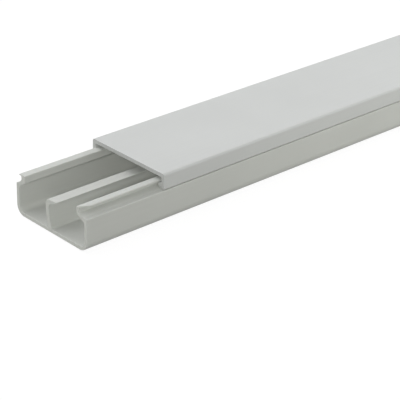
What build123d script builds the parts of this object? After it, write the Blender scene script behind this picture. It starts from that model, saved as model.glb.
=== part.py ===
"""Self-adhesive cord cover raceway: a divided PVC channel, its snap-on lid, and the tape on its back.

Millimetres. X runs along the stick, Z is up, and the origin is the middle of the face that goes
against the wall. The lid is drawn back from the near end, at -X, and slides along the channel.
"""

import os
from math import radians, tan

from build123d import *

# The stick
stick_length = 400.0
lid_setback = 35.0  # from the channel's near end to the lid's

# Tape and liner on the back
liner_thickness = 0.15
tape_thickness = 0.35
tape_width = 29.0
tape_end_margin = 2.0

# Channel: floor and side walls
channel_width = 40.0
floor_thickness = 1.4
wall_thickness = 1.5
corner_radius = 4.0  # outside, along the two lower edges
channel_height = 16.35  # from the underside up to the lips

# Channel: groove for the lid's bead, and the lip above it, along the top of each wall
lip_depth = 2.9  # inside face
lip_round = 0.2
groove_round = 0.3
haunch_angle = 29.0  # slope of the inside face, from the lip out to the wall
haunch_round = 0.5

# Channel: the wall at +Y has a shallow groove, under a thin lip, for the lid to snap into
snap_wall_height = 12.4  # outside face, from the underside up to the shoulder
snap_shoulder_round = 0.5
snap_foot_height = 13.05  # from the underside up to the groove's foot
snap_foot_round = 0.5
snap_lip_setback = 0.0  # of the lip's edge, inwards from the groove's foot
snap_lip_width = 3.25
snap_lip_edge = 0.45
snap_lip_curve = 0.2  # along the lip's outer edge
snap_heel_depth = 1.2  # from the groove's foot in to the heel, where its back starts
snap_heel_rise = 1.35  # from the groove's foot up to the heel
snap_lean = 0.1  # of the groove's back, inwards from the heel to the lip

# Channel: the wall at -Y has a deep groove, under a rounded lip, for the lid to hook into
hook_wall_height = 13.05
hook_shoulder_round = 0.4
hook_foot_height = 13.05
hook_foot_round = 2.0
hook_lip_setback = 0.85
hook_lip_width = 3.0
hook_lip_edge = 0.5
hook_lip_curve = 0.4
hook_heel_depth = 2.6
hook_heel_rise = 1.15
hook_lean = 0.15
hook_snip_width = 2.2  # the corner snipped off the lip at its near end
hook_snip_length = 4.2

# Channel: divider, a bowed stem with a flange bent over its top that thins towards its edge
divider_height = 12.9
divider_thickness = 1.6
divider_flange = 6.0
divider_edge = 0.4
divider_edge_round = 0.15
divider_bend = 2.3  # outside radius
divider_root_round = 0.8  # under the flange
divider_bow = 1.6  # from the stem's top in to its foot
divider_foot_round = 0.8

# Lid: flat panel, with a skirt and a snap bead along each edge
lid_thickness = 1.6
lid_headroom = 1.55  # from the lips up to the panel
lid_edge_radius = 0.9
lid_inner_round = 0.4
skirt_thickness = 1.45
skirt_round = 0.35
snap_bead_depth = 0.9  # from over the groove's foot in to the bead's tip
snap_bead_rise = 1.35  # from the skirt's foot up to the bead's tip
hook_bead_depth = 1.7
hook_bead_rise = 0.8
bead_round = 0.2
snap_clearance = 0.3

# Levels and places in the section
half_width = channel_width / 2
underside = liner_thickness + tape_thickness
floor_top = underside + floor_thickness
wall_inside = half_width - wall_thickness
groove_foot = half_width - skirt_thickness - snap_clearance
lip_top = underside + channel_height
haunch_top = lip_top - lip_depth
inner_corner_radius = max(corner_radius - wall_thickness, lip_round)

near_end = Plane.YZ.offset(-stick_length / 2)
lid_near_end = near_end.offset(lid_setback)
tape_near_end = near_end.offset(tape_end_margin)
tape_length = stick_length - 2 * tape_end_margin

os.makedirs("parts", exist_ok=True)


def mirrored(points):
    """The same points on the other side of the section, in the order that carries on the outline."""
    return [(-place, level) for place, level in reversed(points)]


# Base channel, extruded in one piece with its divider
divider_top = underside + divider_height
bend_start = divider_top - divider_bend
stem_outside = divider_flange / 2
stem_inside = stem_outside - divider_thickness
stem_place = (stem_outside + stem_inside) / 2
foot_place = stem_place - divider_bow
flange_tip = stem_outside - divider_flange
snip_start = -stick_length / 2
snip_edge = hook_lip_setback - groove_foot


def outside_edge(wall_height, foot_height, heel_depth, heel_rise, lean, lip_setback, lip_edge):
    """Corners of the wall at +Y on its outside, from the underside up to the lip."""
    groove_bottom = underside + foot_height
    groove_top = lip_top - lip_edge
    heel_place = groove_foot - heel_depth
    return [
        (half_width, underside),
        (half_width, underside + wall_height),
        (groove_foot, groove_bottom),
        (heel_place, groove_bottom + heel_rise),
        (heel_place - lean, groove_top),
        (groove_foot - lip_setback, groove_top),
    ]


def inside_edge(lip_setback, lip_edge, lip_width):
    """Corners of the wall at +Y on its inside, from the lip down to the floor."""
    lip_outside = groove_foot - lip_setback
    lip_inside = lip_outside - lip_width
    haunch_foot = haunch_top - (wall_inside - lip_inside) * tan(radians(haunch_angle))
    return [
        (lip_outside, lip_top - lip_edge),
        (lip_outside, lip_top),
        (lip_inside, lip_top),
        (lip_inside, haunch_top),
        (wall_inside, haunch_foot),
        (wall_inside, floor_top),
    ]


snap_outside = outside_edge(
    snap_wall_height, snap_foot_height,
    snap_heel_depth, snap_heel_rise, snap_lean,
    snap_lip_setback, snap_lip_edge,
)
hook_outside = outside_edge(
    hook_wall_height, hook_foot_height,
    hook_heel_depth, hook_heel_rise, hook_lean,
    hook_lip_setback, hook_lip_edge,
)
snap_inside = inside_edge(snap_lip_setback, snap_lip_edge, snap_lip_width)
hook_inside = inside_edge(hook_lip_setback, hook_lip_edge, hook_lip_width)
snap_rounds = [corner_radius, snap_shoulder_round, snap_foot_round, groove_round, groove_round]
hook_rounds = [corner_radius, hook_shoulder_round, hook_foot_round, groove_round, groove_round]
inside_rounds = [lip_round, haunch_round, haunch_round, inner_corner_radius]

with BuildPart() as base_channel:
    with BuildSketch(near_end) as channel_section:
        with BuildLine():
            FilletPolyline(
                mirrored(hook_outside) + snap_outside,
                radius=hook_rounds[::-1] + snap_rounds,
            )
            FilletPolyline(
                snap_inside + mirrored(hook_inside),
                radius=[snap_lip_curve] + inside_rounds + inside_rounds[::-1] + [hook_lip_curve],
            )
        make_face()
        with BuildLine():
            TangentArc(
                (stem_place, bend_start),
                (foot_place, floor_top - floor_thickness / 2),
                tangent=(0, -1),
            )
        trace(line_width=divider_thickness)
        with BuildLine():
            bend = JernArc(
                start=(stem_outside, bend_start),
                tangent=(0, 1),
                radius=divider_bend,
                arc_size=90,
            )
            Polyline(
                bend @ 1,
                (flange_tip, divider_top),
                (flange_tip, divider_top - divider_edge),
                (stem_inside, bend_start),
                bend @ 0,
            )
        make_face()
        foot_corners = channel_section.vertices().sort_by_distance((foot_place, floor_top))[:2]
        fillet(foot_corners, divider_foot_round)
        root_corner = channel_section.vertices().sort_by_distance((stem_inside, bend_start))[0]
        fillet(root_corner, divider_root_round)
        tip_corners = channel_section.vertices().sort_by_distance((flange_tip, divider_top))[:2]
        fillet(tip_corners, divider_edge_round)
    extrude(amount=stick_length)

    with BuildSketch(Plane.XY.offset(lip_top - hook_lip_edge)):
        with BuildLine():
            Polyline(
                (snip_start, snip_edge),
                (snip_start, snip_edge + hook_snip_width),
                (snip_start + hook_snip_length, snip_edge),
                close=True,
            )
        make_face()
    extrude(amount=hook_lip_edge, mode=Mode.SUBTRACT)

base_channel.part.label = "base_channel"
export_step(base_channel.part, "parts/base_channel.step")

# Cover lid, with beads that run in the channel's grooves
panel_under = lip_top + lid_headroom
lid_top = panel_under + lid_thickness
skirt_inside = half_width - skirt_thickness
skirt_foot = underside + snap_foot_height + snap_clearance

lid_outside = [(skirt_inside, skirt_foot), (half_width, skirt_foot), (half_width, lid_top)]
lid_outside_rounds = [skirt_round, lid_edge_radius]


def bead_edge(lip_edge, bead_depth, bead_rise):
    """Corners of the lid on its inside at +Y, from the panel down round the bead to the skirt's foot."""
    bead_top = lip_top - lip_edge - snap_clearance
    bead_inside = groove_foot - bead_depth
    return [
        (skirt_inside, panel_under),
        (skirt_inside, bead_top),
        (bead_inside, bead_top),
        (bead_inside, skirt_foot + bead_rise),
        (skirt_inside, skirt_foot),
    ]


snap_bead = bead_edge(snap_lip_edge, snap_bead_depth, snap_bead_rise)
hook_bead = bead_edge(hook_lip_edge, hook_bead_depth, hook_bead_rise)
lid_inside_rounds = [lid_inner_round, bead_round, bead_round, bead_round]

with BuildPart() as cover_lid:
    with BuildSketch(lid_near_end):
        with BuildLine():
            FilletPolyline(
                lid_outside + mirrored(lid_outside),
                radius=lid_outside_rounds + lid_outside_rounds[::-1],
            )
            FilletPolyline(
                mirrored(hook_bead) + snap_bead,
                radius=lid_inside_rounds[::-1] + lid_inside_rounds,
            )
        make_face()
    extrude(amount=stick_length)

cover_lid.part.label = "cover_lid"
export_step(cover_lid.part, "parts/cover_lid.step")

# Adhesive tape, a strip down the middle of the channel's back
with BuildPart() as adhesive_tape:
    with BuildSketch(tape_near_end):
        with Locations((0, liner_thickness)):
            Rectangle(tape_width, tape_thickness, align=(Align.CENTER, Align.MIN))
    extrude(amount=tape_length)

adhesive_tape.part.label = "adhesive_tape"
export_step(adhesive_tape.part, "parts/adhesive_tape.step")

# Release liner, the paper that covers the tape until it is peeled off
with BuildPart() as release_liner:
    with BuildSketch(tape_near_end):
        Rectangle(tape_width, liner_thickness, align=(Align.CENTER, Align.MIN))
    extrude(amount=tape_length)

release_liner.part.label = "release_liner"
export_step(release_liner.part, "parts/release_liner.step")
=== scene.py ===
"""Looks of a self-adhesive cord cover raceway: divided PVC channel, sliding snap-on lid, tape and liner.

Metres, in the frame of the CAD model: X along the stick, Z up, origin in the middle of the stuck face.
"""

import math

import bmesh
import bpy
from mathutils import Matrix, Vector


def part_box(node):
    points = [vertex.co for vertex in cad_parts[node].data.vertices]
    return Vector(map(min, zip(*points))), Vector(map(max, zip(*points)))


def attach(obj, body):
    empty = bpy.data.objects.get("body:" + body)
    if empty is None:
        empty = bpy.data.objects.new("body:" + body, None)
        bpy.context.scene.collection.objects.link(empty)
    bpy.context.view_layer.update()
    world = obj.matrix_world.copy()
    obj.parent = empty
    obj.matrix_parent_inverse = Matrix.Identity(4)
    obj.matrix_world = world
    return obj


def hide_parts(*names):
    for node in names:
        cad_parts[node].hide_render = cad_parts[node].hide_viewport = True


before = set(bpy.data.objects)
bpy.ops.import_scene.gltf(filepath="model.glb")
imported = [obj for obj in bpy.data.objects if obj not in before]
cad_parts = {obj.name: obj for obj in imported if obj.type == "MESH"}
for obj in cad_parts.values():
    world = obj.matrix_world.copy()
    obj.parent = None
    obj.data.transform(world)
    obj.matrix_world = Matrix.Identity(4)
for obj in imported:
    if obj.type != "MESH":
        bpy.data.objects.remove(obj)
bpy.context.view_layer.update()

# Base channel
# The body of the raceway: a tray with a divider between its two cable compartments, extruded in one
# piece from rigid light grey PVC and sawn square. A groove outside each lip takes the lid's snap bead.
mm = 0.001
channel_low, channel_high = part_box("base_channel")
half_width = channel_high.y
underside = channel_low.z
lip_top = channel_high.z

# Both walls, with the floor between them
floor_thickness = 1.4 * mm
wall_thickness = 1.5 * mm
corner_radius = 4.0 * mm  # outside, along the two lower edges
groove_round = 0.3 * mm
lip_depth = 2.9 * mm  # inside face
lip_round = 0.2 * mm
haunch_slope = math.radians(29)  # of the inside face, from the lip out to the wall
haunch_round = 0.5 * mm

# The wall at +Y, with a shallow groove under a thin lip for the lid to snap into
snap_wall_height = 12.4 * mm
snap_shoulder_round = 0.5 * mm
snap_foot_height = 13.05 * mm
snap_foot_round = 0.5 * mm
snap_lip_setback = 0.0 * mm
snap_lip_width = 3.25 * mm
snap_lip_edge = 0.45 * mm
snap_lip_curve = 0.2 * mm
snap_heel_depth = 1.2 * mm
snap_heel_rise = 1.35 * mm
snap_lean = 0.1 * mm

# The wall at -Y, with a deep groove under a rounded lip for the lid to hook into
hook_wall_height = 13.05 * mm
hook_shoulder_round = 0.4 * mm
hook_foot_height = 13.05 * mm
hook_foot_round = 2.0 * mm
hook_lip_setback = 0.85 * mm
hook_lip_width = 3.0 * mm
hook_lip_edge = 0.5 * mm
hook_lip_curve = 0.4 * mm
hook_heel_depth = 2.6 * mm
hook_heel_rise = 1.15 * mm
hook_lean = 0.15 * mm
hook_snip_width = 2.2 * mm  # the corner snipped off the lip at its near end
hook_snip_length = 4.2 * mm

# The divider, a bowed stem with a flange bent over its top
divider_height = 12.9 * mm
divider_thickness = 1.6 * mm
divider_flange = 6.0 * mm
divider_edge = 0.4 * mm
divider_edge_round = 0.15 * mm
divider_bend = 2.3 * mm
divider_root_round = 0.8 * mm
divider_bow = 1.6 * mm  # from the stem's top in to its foot
divider_foot_round = 0.8 * mm

# The room that the lid's skirts take at the grooves
skirt_thickness = 1.45 * mm
snap_clearance = 0.3 * mm

floor_top = underside + floor_thickness
wall_inside = half_width - wall_thickness
groove_foot = half_width - skirt_thickness - snap_clearance
haunch_top = lip_top - lip_depth


def arc_steps(turn):
    """How many straight steps draw a round stretch that turns by that angle."""
    fewest_steps = 2
    widest_step = math.radians(7.5)
    return max(fewest_steps, math.ceil(abs(turn) / widest_step))


def arc(place, level, radius, first_angle, last_angle):
    """Corners with no round of their own along a round stretch, with angles in degrees up from +Y."""
    first, last = math.radians(first_angle), math.radians(last_angle)
    steps = arc_steps(last - first)
    angles = [first + (last - first) * step / steps for step in range(steps + 1)]
    return [(place + radius * math.cos(angle), level + radius * math.sin(angle), 0) for angle in angles]


def mirrored(corners):
    """The same corners on the other side of the section, in the order that carries on the outline."""
    return [(-place, level, radius) for place, level, radius in reversed(corners)]


def rounded(corners):
    """The points of a closed outline, from corners of (place, level, radius of the round there)."""
    points = []
    for index, (place, level, radius) in enumerate(corners):
        corner = Vector((place, level))
        if radius == 0:
            points.append(corner)
            continue
        back = (Vector(corners[index - 1][:2]) - corner).normalized()
        ahead = (Vector(corners[(index + 1) % len(corners)][:2]) - corner).normalized()
        half_angle = back.angle(ahead) / 2
        centre = corner + (back + ahead).normalized() * radius / math.sin(half_angle)
        spoke = corner + back * radius / math.tan(half_angle) - centre
        turn = math.copysign(math.pi - 2 * half_angle, ahead.cross(back))
        steps = arc_steps(turn)
        for step in range(steps + 1):
            points.append(centre + Matrix.Rotation(turn * step / steps, 2) @ spoke)
    return points


crease_angle = math.radians(38)  # faces that meet at more than this have a sharp edge between them


def solid_length(name, rings, materials):
    """A solid along X through rings of points. Its two ends have the last of the materials."""
    solid = bmesh.new()
    rings = [[solid.verts.new(point) for point in ring] for ring in rings]
    for ring, following in zip(rings, rings[1:]):
        for index in range(len(ring)):
            ahead = (index + 1) % len(ring)
            side = solid.faces.new((ring[index], ring[ahead], following[ahead], following[index]))
            side.smooth = True
    for end in (solid.faces.new(rings[0][::-1]), solid.faces.new(rings[-1])):
        end.material_index = len(materials) - 1

    mesh = bpy.data.meshes.new(name)
    solid.to_mesh(mesh)
    solid.free()
    mesh.set_sharp_from_angle(angle=crease_angle)
    for material in materials:
        mesh.materials.append(material)
    piece = bpy.data.objects.new(name, mesh)
    bpy.context.scene.collection.objects.link(piece)
    shading = piece.modifiers.new("flat faces stay flat", "WEIGHTED_NORMAL")
    shading.keep_sharp = True
    return piece


quarter_turn = math.radians(90)


def sawn_bar(name, outline, near_end, far_end, extruded, sawn):
    """A bar of that outline along X, of the extruded material, with sawn cuts whose edges are broken."""
    saw_edge = 0.12 * mm
    saw_edge_steps = 3
    outward = []
    for index, point in enumerate(outline):
        before = (point - outline[index - 1]).normalized()
        after = (outline[(index + 1) % len(outline)] - point).normalized()
        normals = Vector((before.y + after.y, -before.x - after.x))
        outward.append(normals / (1 + before.dot(after)))
    stations = []
    for step in range(saw_edge_steps + 1):
        angle = quarter_turn * step / saw_edge_steps
        stations.append((saw_edge * (1 - math.sin(angle)), saw_edge * (1 - math.cos(angle))))
    stations = [(near_end + depth, inset) for depth, inset in reversed(stations)]
    stations += [(near_end + far_end - x, inset) for x, inset in reversed(stations)]
    rings = []
    for x, inset in stations:
        ring = [point - inset * normal for point, normal in zip(outline, outward)]
        rings.append([(x, place, level) for place, level in ring])
    return solid_length(name, rings, [extruded, sawn])


def colour(hex_value):
    """A linear RGBA colour from sRGB hex such as "C8CBC5"."""
    channels = [int(hex_value[start:start + 2], 16) / 255 for start in (0, 2, 4)]
    return [c / 12.92 if c <= 0.04045 else ((c + 0.055) / 1.055) ** 2.4 for c in channels] + [1.0]


def add_node(tree, kind, settings=None, **sockets):
    """Adds a node, sets its settings, and gives each socket its value or its link.

    A socket goes by its name, with _ for a space, or by its number, such as _6.
    """
    node = tree.nodes.new(kind)
    for setting, value in (settings or {}).items():
        setattr(node, setting, value)
    for name, value in sockets.items():
        by_number = name[1:].isdigit()
        socket = node.inputs[int(name[1:]) if by_number else name.replace("_", " ")]
        if isinstance(value, bpy.types.NodeSocket):
            tree.links.new(value, socket)
        else:
            socket.default_value = value
    return node


def blank_material(name):
    """A material with no nodes yet, and its node tree."""
    material = bpy.data.materials.new(name)
    material.use_nodes = True
    material.node_tree.nodes.clear()
    return material, material.node_tree


pvc_ior = 1.53
noise_low, noise_high = 0.3, 0.7  # nearly all of a noise pattern lies between these two


def extruded_pvc(name, pale, deep):
    """Rigid PVC as it leaves the die: satin, with faint lines drawn along it and a slight cloudiness.

    pale and deep are the two close greys that the die lines and the clouding drift between. The real
    die lines and grain are too fine to show, so both are drawn several times coarser here.
    """
    die_line_spacing = 0.8 * mm
    die_line_run = 120 * mm
    die_line_height = 0.003 * mm
    clouding = 30 * mm
    grain = 0.35 * mm
    grain_height = 0.0015 * mm
    line_share = 0.4  # what the die lines add to the clouding
    palest, deepest = 0.4, 1.0  # the sums where the colour is the pale one and the deep one
    smoothest, roughest = 0.57, 0.67
    material, tree = blank_material(name)
    place = add_node(tree, "ShaderNodeTexCoord").outputs["Object"]
    drawn = add_node(
        tree, "ShaderNodeMapping", Vector=place, Scale=(die_line_spacing / die_line_run, 1, 1)
    ).outputs["Vector"]
    lines = add_node(
        tree, "ShaderNodeTexNoise", Vector=drawn, Scale=1 / die_line_spacing, Detail=3.0, Roughness=0.6
    ).outputs["Fac"]
    clouds = add_node(
        tree, "ShaderNodeTexNoise", Vector=place, Scale=1 / clouding, Detail=2.0
    ).outputs["Fac"]
    grains = add_node(
        tree, "ShaderNodeTexNoise", Vector=place, Scale=1 / grain, Detail=1.0
    ).outputs["Fac"]
    drift = add_node(
        tree, "ShaderNodeMath", {"operation": "MULTIPLY_ADD"}, _0=lines, _1=line_share, _2=clouds
    ).outputs[0]
    tone = add_node(
        tree, "ShaderNodeMapRange", Value=drift, From_Min=palest, From_Max=deepest
    ).outputs["Result"]
    tint = add_node(
        tree, "ShaderNodeMix", {"data_type": "RGBA"}, _0=tone, _6=colour(pale), _7=colour(deep)
    ).outputs[2]
    gloss = add_node(
        tree, "ShaderNodeMapRange", Value=lines,
        From_Min=noise_low, From_Max=noise_high, To_Min=smoothest, To_Max=roughest,
    ).outputs["Result"]
    fine = add_node(tree, "ShaderNodeBump", Height=grains, Distance=grain_height).outputs["Normal"]
    relief = add_node(tree, "ShaderNodeBump", Height=lines, Distance=die_line_height, Normal=fine)
    surface = add_node(
        tree, "ShaderNodeBsdfPrincipled",
        Base_Color=tint, Roughness=gloss, IOR=pvc_ior, Normal=relief.outputs["Normal"],
    )
    add_node(tree, "ShaderNodeOutputMaterial", Surface=surface.outputs["BSDF"])
    return material


def sawn_pvc(name, pale, deep):
    """The same PVC where the saw has cut it: duller, with fine scratches that run across the cut.

    The real scratches are too fine to show, so they are drawn coarser here.
    """
    scratch_spacing = 0.3 * mm
    scratch_run = 9 * mm
    scratch_height = 0.02 * mm
    scratch_slant = math.radians(25)
    smoothest, roughest = 0.7, 0.82
    material, tree = blank_material(name)
    place = add_node(tree, "ShaderNodeTexCoord").outputs["Object"]
    slanted = add_node(
        tree, "ShaderNodeMapping", Vector=place, Rotation=(scratch_slant, 0, 0)
    ).outputs["Vector"]
    drawn = add_node(
        tree, "ShaderNodeMapping", Vector=slanted, Scale=(1, scratch_spacing / scratch_run, 1)
    ).outputs["Vector"]
    scratches = add_node(
        tree, "ShaderNodeTexNoise", Vector=drawn, Scale=1 / scratch_spacing, Detail=3.0, Roughness=0.65
    ).outputs["Fac"]
    tint = add_node(
        tree, "ShaderNodeMix", {"data_type": "RGBA"}, _0=scratches, _6=colour(deep), _7=colour(pale)
    ).outputs[2]
    gloss = add_node(
        tree, "ShaderNodeMapRange", Value=scratches,
        From_Min=noise_low, From_Max=noise_high, To_Min=smoothest, To_Max=roughest,
    ).outputs["Result"]
    relief = add_node(tree, "ShaderNodeBump", Height=scratches, Distance=scratch_height)
    surface = add_node(
        tree, "ShaderNodeBsdfPrincipled",
        Base_Color=tint, Roughness=gloss, IOR=pvc_ior, Normal=relief.outputs["Normal"],
    )
    add_node(tree, "ShaderNodeOutputMaterial", Surface=surface.outputs["BSDF"])
    return material


def wall_side(shoulder, foot, heel_depth, heel_rise, lean, lip_setback, lip_width, lip_edge, lip_curve):
    """Corners of the wall at +Y, from the underside round its groove and lip to the floor inside.

    shoulder and foot are each a height and a round: the wall's outer edge, and the groove's foot.
    """
    wall_height, shoulder_round = shoulder
    foot_height, foot_round = foot
    groove_bottom = underside + foot_height
    groove_top = lip_top - lip_edge
    heel_place = groove_foot - heel_depth
    lip_outside = groove_foot - lip_setback
    lip_inside = lip_outside - lip_width
    haunch_foot = haunch_top - (wall_inside - lip_inside) * math.tan(haunch_slope)
    return [
        (half_width, underside, corner_radius),
        (half_width, underside + wall_height, shoulder_round),
        (groove_foot, groove_bottom, foot_round),
        (heel_place, groove_bottom + heel_rise, groove_round),
        (heel_place - lean, groove_top, groove_round),
        (lip_outside, groove_top, 0),
        (lip_outside, lip_top, lip_curve),
        (lip_inside, lip_top, lip_round),
        (lip_inside, haunch_top, haunch_round),
        (wall_inside, haunch_foot, haunch_round),
        (wall_inside, floor_top, corner_radius - wall_thickness),
    ]


snap_wall = wall_side(
    (snap_wall_height, snap_shoulder_round), (snap_foot_height, snap_foot_round),
    snap_heel_depth, snap_heel_rise, snap_lean,
    snap_lip_setback, snap_lip_width, snap_lip_edge, snap_lip_curve,
)
hook_wall = wall_side(
    (hook_wall_height, hook_shoulder_round), (hook_foot_height, hook_foot_round),
    hook_heel_depth, hook_heel_rise, hook_lean,
    hook_lip_setback, hook_lip_width, hook_lip_edge, hook_lip_curve,
)

divider_top = underside + divider_height
stem_place = (divider_flange - divider_thickness) / 2
stem_inside = divider_flange / 2 - divider_thickness
bend_place = divider_flange / 2 - divider_bend
bend_level = divider_top - divider_bend
stem_drop = bend_level - floor_top + floor_thickness / 2
bow_radius = (stem_drop ** 2 + divider_bow ** 2) / (2 * divider_bow)
bow_place = stem_place - bow_radius


def stem_face(radius):
    """One face of the bowed stem, from its foot on the floor up to the bend."""
    foot_angle = math.degrees(math.asin((floor_top - bend_level) / radius))
    face = arc(bow_place, bend_level, radius, foot_angle, 0)
    return [(*face[0][:2], divider_foot_round), *face[1:-1]]


divider = [
    *stem_face(bow_radius + divider_thickness / 2),
    *arc(bend_place, bend_level, divider_bend, 0, 90),
    (-divider_flange / 2, divider_top, divider_edge_round),
    (-divider_flange / 2, divider_top - divider_edge, divider_edge_round),
    (stem_inside, bend_level, divider_root_round),
    *reversed(stem_face(bow_radius - divider_thickness / 2)),
]

channel = sawn_bar(
    "pvc_channel",
    rounded(snap_wall + divider + mirrored(hook_wall)),
    channel_low.x,
    channel_high.x,
    extruded_pvc("extruded PVC, light grey", "CACCC9", "C5C7C4"),
    sawn_pvc("sawn PVC, light grey", "CED0CC", "C4C6C2"),
)


def snip(piece, corners, low, high):
    """Cuts a corner off a sawn bar, straight down over those corners in plan between two levels."""
    wedge = bmesh.new()
    foot = [wedge.verts.new((x, y, low)) for x, y in corners]
    head = [wedge.verts.new((x, y, high)) for x, y in corners]
    wedge.faces.new(foot[::-1])
    wedge.faces.new(head)
    for index in range(len(corners)):
        ahead = (index + 1) % len(corners)
        wedge.faces.new((foot[index], foot[ahead], head[ahead], head[index]))
    for face in wedge.faces:
        face.material_index = 1  # the sawn material
    mesh = bpy.data.meshes.new("snip")
    wedge.to_mesh(mesh)
    wedge.free()
    for material in piece.data.materials:
        mesh.materials.append(material)
    cutter = bpy.data.objects.new("snip", mesh)
    bpy.context.scene.collection.objects.link(cutter)

    shading = piece.modifiers["flat faces stay flat"]
    shading.show_viewport = False
    cut = piece.modifiers.new("snip", "BOOLEAN")
    cut.solver = "MANIFOLD"
    cut.object = cutter
    snipped = piece.evaluated_get(bpy.context.evaluated_depsgraph_get())
    piece.data = bpy.data.meshes.new_from_object(snipped)
    piece.data.set_sharp_from_angle(angle=crease_angle)
    piece.modifiers.remove(cut)
    shading.show_viewport = True
    bpy.data.objects.remove(cutter)


snip_start = channel_low.x
snip_edge = hook_lip_setback - groove_foot
snip_slant = hook_snip_length / hook_snip_width
beyond = 1 * mm  # how far the wedge that is cut off reaches out past the lip
snip(
    channel,
    [
        (snip_start - beyond, snip_edge + hook_snip_width + beyond / snip_slant),
        (snip_start - beyond, snip_edge - beyond),
        (snip_start + hook_snip_length + beyond * snip_slant, snip_edge - beyond),
    ],
    lip_top - hook_lip_edge,
    lip_top + beyond,
)
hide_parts("base_channel")
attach(channel, "channel")

# Adhesive tape
# Double-sided mounting tape down the middle of the channel's back: a greenish white film of tacky
# acrylic, slit from a wide roll and pressed on at the factory.


def slit_strip(name, low, high, material):
    """A thin strip between two corners, whose long edges wander in where the slitter drifted."""
    stations = 100
    edge_wander = 0.15 * mm
    drift_length = 23 * mm
    right_pace = 0.7  # the right edge drifts more slowly than the left
    edge_round = (high.z - low.z) / 4
    rings = []
    for station in range(stations + 1):
        x = low.x + (high.x - low.x) * station / stations
        left = high.y - edge_wander * (1 + math.sin(x / drift_length)) / 2
        right = low.y + edge_wander * (1 + math.cos(right_pace * x / drift_length)) / 2
        outline = rounded([
            (right, low.z, edge_round),
            (left, low.z, edge_round),
            (left, high.z, edge_round),
            (right, high.z, edge_round),
        ])
        rings.append([(x, place, level) for place, level in outline])
    return solid_length(name, rings, [material])


def tacky_acrylic(name):
    """Pressure-sensitive acrylic: wet-looking and slightly uneven, with small clouds where it bonded."""
    ripple = 1.8 * mm
    ripple_height = 0.03 * mm
    bond_patch = 9 * mm
    clear, cloudy = colour("DEE2CC"), colour("D2D8C0")
    smoothest, roughest = 0.16, 0.28
    acrylic_ior = 1.47
    material, tree = blank_material(name)
    place = add_node(tree, "ShaderNodeTexCoord").outputs["Object"]
    ripples = add_node(
        tree, "ShaderNodeTexNoise", Vector=place, Scale=1 / ripple, Detail=2.0
    ).outputs["Fac"]
    patches = add_node(
        tree, "ShaderNodeTexNoise", Vector=place, Scale=1 / bond_patch, Detail=3.0
    ).outputs["Fac"]
    tint = add_node(
        tree, "ShaderNodeMix", {"data_type": "RGBA"}, _0=patches, _6=clear, _7=cloudy
    ).outputs[2]
    gloss = add_node(
        tree, "ShaderNodeMapRange", Value=ripples,
        From_Min=noise_low, From_Max=noise_high, To_Min=smoothest, To_Max=roughest,
    ).outputs["Result"]
    relief = add_node(tree, "ShaderNodeBump", Height=ripples, Distance=ripple_height)
    surface = add_node(
        tree, "ShaderNodeBsdfPrincipled",
        Base_Color=tint, Roughness=gloss, IOR=acrylic_ior, Normal=relief.outputs["Normal"],
    )
    add_node(tree, "ShaderNodeOutputMaterial", Surface=surface.outputs["BSDF"])
    return material


tape = slit_strip("tape_strip", *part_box("adhesive_tape"), tacky_acrylic("tacky acrylic, greenish white"))
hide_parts("adhesive_tape")
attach(tape, "channel")

# Release liner
# The golden yellow paper that covers the tape until the raceway goes up: glassine with a silicone
# coat, slit together with the tape and peeled off by hand.


def silicone_paper(name):
    """Dyed glassine with a silicone coat: smooth sheen over short fibres that show as faint flecks.

    The real fibres are too thin to show, so they are drawn about ten times as wide here.
    """
    fibre_width = 0.25 * mm
    fibre_length = 2.5 * mm
    fibre_height = 0.006 * mm
    formation = 6 * mm  # the size of the clouds that the fibres settle in
    fibre_share = 0.6  # what the fibres add to those clouds
    palest, deepest = 0.5, 1.1  # the sums where the colour is the pale one and the deep one
    pale, deep = colour("DDB03E"), colour("C8982A")
    smoothest, roughest = 0.3, 0.42
    silicone_ior = 1.45
    material, tree = blank_material(name)
    place = add_node(tree, "ShaderNodeTexCoord").outputs["Object"]
    drawn = add_node(
        tree, "ShaderNodeMapping", Vector=place, Scale=(fibre_width / fibre_length, 1, 1)
    ).outputs["Vector"]
    fibres = add_node(
        tree, "ShaderNodeTexNoise", Vector=drawn, Scale=1 / fibre_width, Detail=3.0, Roughness=0.6
    ).outputs["Fac"]
    clouds = add_node(
        tree, "ShaderNodeTexNoise", Vector=place, Scale=1 / formation, Detail=3.0
    ).outputs["Fac"]
    drift = add_node(
        tree, "ShaderNodeMath", {"operation": "MULTIPLY_ADD"}, _0=fibres, _1=fibre_share, _2=clouds
    ).outputs[0]
    tone = add_node(
        tree, "ShaderNodeMapRange", Value=drift, From_Min=palest, From_Max=deepest
    ).outputs["Result"]
    tint = add_node(
        tree, "ShaderNodeMix", {"data_type": "RGBA"}, _0=tone, _6=pale, _7=deep
    ).outputs[2]
    gloss = add_node(
        tree, "ShaderNodeMapRange", Value=fibres,
        From_Min=noise_low, From_Max=noise_high, To_Min=smoothest, To_Max=roughest,
    ).outputs["Result"]
    relief = add_node(tree, "ShaderNodeBump", Height=fibres, Distance=fibre_height)
    surface = add_node(
        tree, "ShaderNodeBsdfPrincipled",
        Base_Color=tint, Roughness=gloss, IOR=silicone_ior, Normal=relief.outputs["Normal"],
    )
    add_node(tree, "ShaderNodeOutputMaterial", Surface=surface.outputs["BSDF"])
    return material


liner = slit_strip(
    "liner_strip", *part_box("release_liner"), silicone_paper("silicone glassine, golden yellow")
)
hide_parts("release_liner")
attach(liner, "channel")

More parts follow.
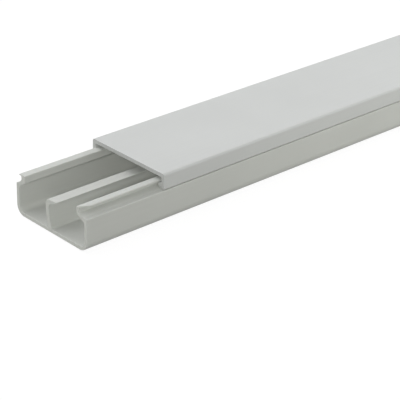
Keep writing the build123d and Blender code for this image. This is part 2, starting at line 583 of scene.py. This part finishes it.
# Cover lid
# A flat PVC panel with a skirt along each edge, extruded in one piece. A bead inside each skirt snaps
# into the channel's groove, and the lid can be slid along there.
lid_low, lid_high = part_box("cover_lid")
lid_top = lid_high.z
skirt_foot = lid_low.z
lid_thickness = 1.6 * mm
lid_edge_radius = 0.9 * mm
lid_inner_round = 0.4 * mm
skirt_round = 0.35 * mm
skirt_inside = half_width - skirt_thickness
panel_under = lid_top - lid_thickness
snap_bead_depth = 0.9 * mm
snap_bead_rise = 1.35 * mm
hook_bead_depth = 1.7 * mm
hook_bead_rise = 0.8 * mm
bead_round = 0.2 * mm


def skirt_side(lip_edge, bead_depth, bead_rise):
    """Corners of the lid at +Y, from the panel's underside round the bead and the skirt to the top."""
    bead_top = lip_top - lip_edge - snap_clearance
    bead_inside = groove_foot - bead_depth
    return [
        (skirt_inside, panel_under, lid_inner_round),
        (skirt_inside, bead_top, bead_round),
        (bead_inside, bead_top, bead_round),
        (bead_inside, skirt_foot + bead_rise, bead_round),
        (skirt_inside, skirt_foot, 0),
        (half_width, skirt_foot, skirt_round),
        (half_width, lid_top, lid_edge_radius),
    ]


snap_skirt = skirt_side(snap_lip_edge, snap_bead_depth, snap_bead_rise)
hook_skirt = skirt_side(hook_lip_edge, hook_bead_depth, hook_bead_rise)

lid = sawn_bar(
    "pvc_lid",
    rounded(snap_skirt + mirrored(hook_skirt)),
    lid_low.x,
    lid_high.x,
    extruded_pvc("extruded PVC, pale grey", "CBCDCD", "C7C9C9"),
    sawn_pvc("sawn PVC, pale grey", "C2C4C3", "B8BAB9"),
)
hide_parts("cover_lid")
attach(lid, "lid")

# Floor
# A plain sweep of matt pale paper that the raceway lies on. It keeps the raceway's soft shadow, and
# elsewhere it looks as white to the camera as the background behind it.
floor_size = 8.0
floor_gap = 0.05 * mm  # keeps it clear of the liner that lies on it


def background_share(tree):
    """1 where the background is seen, straight or in gloss or glass, and 0 where it only gives light."""
    ray = add_node(tree, "ShaderNodeLightPath").outputs
    looked_at = ray["Is Camera Ray"]
    for kind in ("Is Glossy Ray", "Is Transmission Ray"):
        either = add_node(tree, "ShaderNodeMath", {"operation": "MAXIMUM"}, _0=looked_at, _1=ray[kind])
        looked_at = either.outputs[0]
    return looked_at


def pale_paper(name):
    """Matt pale grey paper. It is looked at through an even white, so that its shadows are faint."""
    white_share = 0.78
    white_level = 1.2  # with the paper's own share, the lit floor comes to just over 1, which is white
    material, tree = blank_material(name)
    share = add_node(
        tree, "ShaderNodeMath", {"operation": "MULTIPLY"}, _0=background_share(tree), _1=white_share
    ).outputs[0]
    paper = add_node(tree, "ShaderNodeBsdfDiffuse", Color=colour("B4B4B4"))
    white = add_node(tree, "ShaderNodeEmission", Color=colour("FFFFFF"), Strength=white_level)
    both = add_node(
        tree, "ShaderNodeMixShader", _0=share, _1=paper.outputs["BSDF"], _2=white.outputs["Emission"]
    )
    add_node(tree, "ShaderNodeOutputMaterial", Surface=both.outputs["Shader"])
    return material


floor_mesh = bpy.data.meshes.new("floor")
floor_sheet = bmesh.new()
bmesh.ops.create_grid(floor_sheet, x_segments=1, y_segments=1, size=floor_size / 2)
floor_sheet.to_mesh(floor_mesh)
floor_sheet.free()
floor_mesh.materials.append(pale_paper("matt pale grey paper"))
floor = bpy.data.objects.new("floor", floor_mesh)
floor.location.z = -floor_gap
bpy.context.scene.collection.objects.link(floor)

# Light
# A small product studio with a white backdrop, which gives a little light of its own. A warm light by
# the camera shines into the open channel, a softbox lights the side, and soft lights overhead, behind
# and past the far end light the rest.
backdrop_light = 0.14
world = bpy.data.worlds.new("white backdrop")
bpy.context.scene.world = world
world.use_nodes = True
world.node_tree.nodes.clear()
looked_at = background_share(world.node_tree)
strength = add_node(
    world.node_tree, "ShaderNodeMapRange", Value=looked_at, To_Min=backdrop_light, To_Max=1.0
).outputs["Result"]
backdrop = add_node(world.node_tree, "ShaderNodeBackground", Color=colour("FFFFFF"), Strength=strength)
add_node(world.node_tree, "ShaderNodeOutputWorld", Surface=backdrop.outputs["Background"])

warm_white, plain_white = "FFFFF7", "FFFFFF"


def soft_light(name, tint, level, spread, lean, bearing):
    """A soft light far off, which leans from overhead towards its bearing. All angles are in degrees."""
    light = bpy.data.lights.new(name, "SUN")
    light.color = colour(tint)[:3]
    light.energy = level * math.pi
    light.angle = math.radians(spread)
    lamp = bpy.data.objects.new(name, light)
    lamp.rotation_euler = (0, math.radians(lean), math.radians(bearing))
    bpy.context.scene.collection.objects.link(lamp)


soft_light("front light", warm_white, level=0.43, spread=10, lean=65, bearing=225)
soft_light("overhead light", plain_white, level=0.12, spread=40, lean=0, bearing=0)
soft_light("far end light", plain_white, level=0.35, spread=30, lean=75, bearing=0)
soft_light("low back light", plain_white, level=0.6, spread=30, lean=70, bearing=90)
soft_light("high back light", plain_white, level=0.26, spread=60, lean=45, bearing=120)

softbox_place = Vector((0, -180 * mm, 60 * mm))
softbox_aim = Vector((0, 0, 10 * mm))
softbox_size = 200 * mm
softbox_watts = 0.105
softbox_light = bpy.data.lights.new("side softbox", "AREA")
softbox_light.color = colour(warm_white)[:3]
softbox_light.energy = softbox_watts
softbox_light.size = softbox_size
softbox = bpy.data.objects.new("side softbox", softbox_light)
softbox.location = softbox_place
softbox.rotation_euler = (softbox_aim - softbox_place).to_track_quat("-Z", "Y").to_euler()
softbox.visible_camera = False
bpy.context.scene.collection.objects.link(softbox)

# Camera
# A long lens looks down the stick from above its near end, a little askew. Its place, aim and length
# were fitted to the straight edges of the channel and the lid in the photograph.
camera_place = (-498.5 * mm, -394.4 * mm, 263.7 * mm)
camera_bearing = math.radians(46.84)
camera_dip = math.radians(26.81)
camera_roll = math.radians(1.61)
focal_length = 142.4  # in the lens's own millimetres, as the sensor's width is
sensor_width = 36

lens = bpy.data.cameras.new("camera")
lens.lens = focal_length
lens.sensor_width = sensor_width
camera = bpy.data.objects.new("camera", lens)
camera.matrix_world = (
    Matrix.Translation(camera_place)
    @ Matrix.Rotation(camera_bearing - quarter_turn, 4, "Z")
    @ Matrix.Rotation(quarter_turn - camera_dip, 4, "X")
    @ Matrix.Rotation(camera_roll, 4, "Z")
)
bpy.context.scene.collection.objects.link(camera)
bpy.context.scene.camera = camera
bpy.context.scene.view_settings.view_transform = "Standard"
